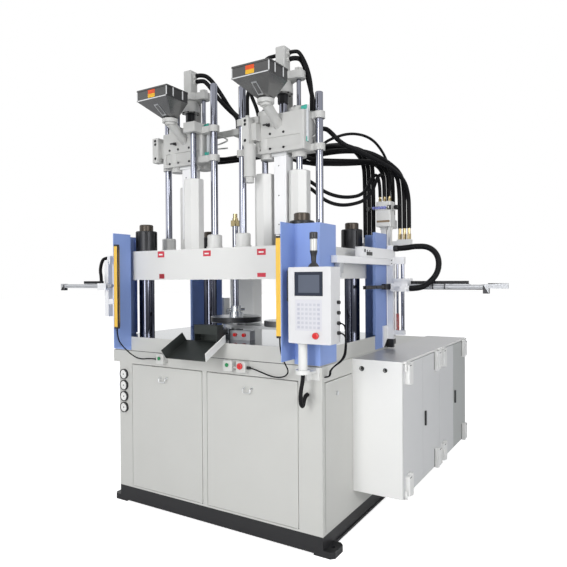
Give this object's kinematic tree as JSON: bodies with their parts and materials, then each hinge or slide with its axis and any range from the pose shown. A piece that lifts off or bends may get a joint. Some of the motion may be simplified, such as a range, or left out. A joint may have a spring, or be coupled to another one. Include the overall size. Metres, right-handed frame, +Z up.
{
  "type": "vertical injection moulding machine",
  "caption": "Vertical injection moulding machine with twin screw units over a tie-bar clamp, an index arm, cabinet base, hopper feed and side take-out arms.",
  "frame": {"origin": "on the floor at the centre of the four anchor holes", "axes": "+Z up, the operator stands on the -Y side looking towards +Y, +X to the operator's right"},
  "size_m": [3.106, 2.2109, 3.03],
  "materials": {
    "aluminium": "satin",
    "beige_paint": "satin",
    "black_paint": "satin",
    "black_rubber": "satin",
    "blue_paint": "satin",
    "chrome": "polished",
    "dark_metal": "oiled",
    "dark_steel": "brushed",
    "green_plastic": "gloss",
    "grey_paint": "satin",
    "grey_plastic": "matte",
    "machined_steel": "machined",
    "red_plastic": "gloss",
    "white_paint": "satin",
    "yellow_paint": "satin"
  },
  "bodies": {
    "base": {"access_panels": "beige_paint", "base_cabinet": "beige_paint", "bed": "machined_steel", "button_boxes": "grey_plastic", "clamp_cylinder": "dark_metal", "corner_guards": "blue_paint", "curtain_cables": "black_rubber", "electric_cabinet": "white_paint", "index_housing": "dark_metal", "left_take_out_frame": "white_paint", "left_take_out_hose": "black_rubber", "light_curtains": "yellow_paint", "panel_cables": "black_rubber", "panel_hose": "black_rubber", "panel_post": "white_paint", "part_chute": "dark_steel", "power_pack": "grey_paint", "pressure_gauges": "dark_metal", "rear_column": "grey_paint", "skid": "black_paint", "take_out_frame": "white_paint", "take_out_hose": "black_rubber"},
    "clamp": {"moving_platen": "white_paint", "tie_bars": "chrome", "ring_nuts": "dark_metal", "lower_crosshead": "dark_metal", "guide_rods": "chrome", "seat_cylinders": "white_paint", "hose_manifold": "white_paint", "supply_hoses": "black_rubber"},
    "index_table": {"index_shaft": "chrome", "index_arm": "machined_steel"},
    "carriage_1": {"unit_1_carriage": "white_paint", "unit_1_barrel": "dark_metal", "unit_1_barrel_cover": "white_paint", "unit_1_hopper": "dark_steel", "unit_1_hoses": "black_rubber"},
    "head_1": {"unit_1_head": "white_paint"},
    "screw_1": {"unit_1_screw": "dark_metal"},
    "knob_1": {"unit_1_shut_off_knob": "dark_metal"},
    "carriage_2": {"unit_2_carriage": "white_paint", "unit_2_barrel": "dark_metal", "unit_2_barrel_cover": "white_paint", "unit_2_hopper": "dark_steel", "unit_2_hoses": "black_rubber"},
    "head_2": {"unit_2_head": "white_paint"},
    "screw_2": {"unit_2_screw": "dark_metal"},
    "knob_2": {"unit_2_shut_off_knob": "dark_metal"},
    "panel": {"operator_panel": "white_paint"},
    "panel_stop": {"panel_stop_button": "red_plastic"},
    "start_left": {"start_button_left": "green_plastic"},
    "start_right": {"start_button_right": "green_plastic"},
    "stop": {"stop_button": "red_plastic"},
    "door_1": {"cabinet_door_1": "white_paint"},
    "door_2": {"cabinet_door_2": "white_paint"},
    "door_3": {"cabinet_door_3": "white_paint"},
    "door_4": {"cabinet_door_4": "white_paint"},
    "take_out_lift": {"take_out_lift": "aluminium"},
    "take_out_arm": {"take_out_arm": "aluminium"},
    "left_take_out_arm": {"left_take_out_arm": "aluminium"}
  },
  "joints": [
    {"name": "clamp_stroke", "type": "slide", "parent": "base", "child": "clamp", "axis": [0, 0, 1], "range_m": [-0.2, 0]},
    {"name": "index_turn", "type": "hinge", "parent": "base", "child": "index_table", "pos_m": [-0.028, -0.67, 1.26], "axis": [0, 0, 1], "range_deg": [0, 180]},
    {"name": "seat_1", "type": "slide", "parent": "clamp", "child": "carriage_1", "axis": [0, 0, 1], "range_m": [-0.08, 0]},
    {"name": "inject_1", "type": "slide", "parent": "carriage_1", "child": "head_1", "axis": [0, 0, 1], "range_m": [-0.075, 0]},
    {"name": "screw_turn_1", "type": "hinge", "parent": "head_1", "child": "screw_1", "pos_m": [-0.415, -0.67, 2.7], "axis": [0, 0, 1], "continuous": true},
    {"name": "shut_off_1", "type": "hinge", "parent": "carriage_1", "child": "knob_1", "pos_m": [-0.487, -0.75, 2.508], "axis": [0, 1, 0], "range_deg": [0, 90]},
    {"name": "seat_2", "type": "slide", "parent": "clamp", "child": "carriage_2", "axis": [0, 0, 1], "range_m": [-0.08, 0]},
    {"name": "inject_2", "type": "slide", "parent": "carriage_2", "child": "head_2", "axis": [0, 0, 1], "range_m": [-0.075, 0]},
    {"name": "screw_turn_2", "type": "hinge", "parent": "head_2", "child": "screw_2", "pos_m": [0.359, -0.67, 2.7], "axis": [0, 0, 1], "continuous": true},
    {"name": "shut_off_2", "type": "hinge", "parent": "carriage_2", "child": "knob_2", "pos_m": [0.299, -0.75, 2.524], "axis": [0, 1, 0], "range_deg": [0, 90]},
    {"name": "panel_swing", "type": "hinge", "parent": "base", "child": "panel", "pos_m": [0.735, -1.1, 1.2], "axis": [0, 0, 1], "range_deg": [-60, 15]},
    {"name": "panel_stop_press", "type": "slide", "parent": "panel", "child": "panel_stop", "axis": [0, 1, 0], "range_m": [0, 0.004], "stiffness_N_per_m": 600},
    {"name": "start_left_press", "type": "slide", "parent": "base", "child": "start_left", "axis": [0, 1, 0], "range_m": [0, 0.004], "stiffness_N_per_m": 600},
    {"name": "start_right_press", "type": "slide", "parent": "base", "child": "start_right", "axis": [0, 1, 0], "range_m": [0, 0.004], "stiffness_N_per_m": 600},
    {"name": "stop_press", "type": "slide", "parent": "base", "child": "stop", "axis": [0, 1, 0], "range_m": [0, 0.004], "stiffness_N_per_m": 600},
    {"name": "door_swing_1", "type": "hinge", "parent": "base", "child": "door_1", "pos_m": [1.123, -0.5505, 0.64], "axis": [0, 0, -1], "range_deg": [0, 90]},
    {"name": "door_swing_2", "type": "hinge", "parent": "base", "child": "door_2", "pos_m": [1.123, 0.1675, 0.64], "axis": [0, 0, 1], "range_deg": [0, 90]},
    {"name": "door_swing_3", "type": "hinge", "parent": "base", "child": "door_3", "pos_m": [1.123, 0.2105, 0.64], "axis": [0, 0, -1], "range_deg": [0, 90]},
    {"name": "door_swing_4", "type": "hinge", "parent": "base", "child": "door_4", "pos_m": [1.123, 0.9285, 0.64], "axis": [0, 0, 1], "range_deg": [0, 90]},
    {"name": "take_out_lift_slide", "type": "slide", "parent": "base", "child": "take_out_lift", "axis": [0, 0, 1], "range_m": [-0.12, 0]},
    {"name": "take_out_reach", "type": "slide", "parent": "take_out_lift", "child": "take_out_arm", "axis": [1, 0, 0], "range_m": [-0.02, 0.3]},
    {"name": "left_take_out_reach", "type": "slide", "parent": "base", "child": "left_take_out_arm", "axis": [1, 0, 0], "range_m": [-0.1, 0.06]}
  ]
}
